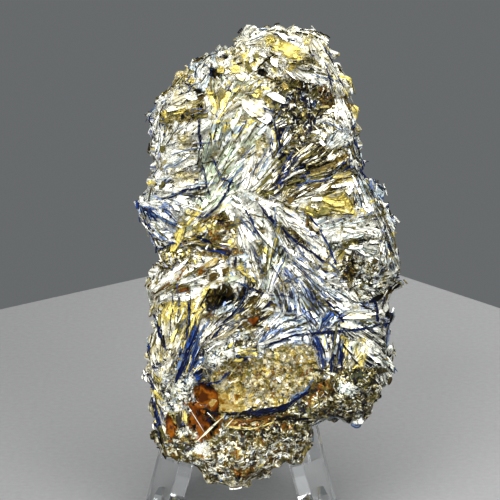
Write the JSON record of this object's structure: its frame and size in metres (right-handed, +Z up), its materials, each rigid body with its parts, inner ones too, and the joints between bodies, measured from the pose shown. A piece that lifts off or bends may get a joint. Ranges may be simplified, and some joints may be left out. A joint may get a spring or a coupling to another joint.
{
  "type": "covellite mineral specimen on easel",
  "caption": "Upright slab of metallic platy covellite crystals with pyrite and amber quartz, leaning back on a small clear acrylic easel.",
  "frame": {"origin": "on the table under the middle of the whole object's bounding box, at the level of the easel's feet", "axes": "+Z up, +X to the right as the stone's face is seen, +Y towards the easel's rear strut; the face looks along -Y and leans back by 16 degrees"},
  "size_m": [0.0642, 0.076, 0.1198],
  "materials": {
    "covellite": "metallic mineral lustre, bright and broken into fine plates",
    "clear_acrylic": "clear polished acrylic"
  },
  "bodies": {
    "root": {"covellite": "covellite", "easel": "clear_acrylic"}
  },
  "joints": []
}
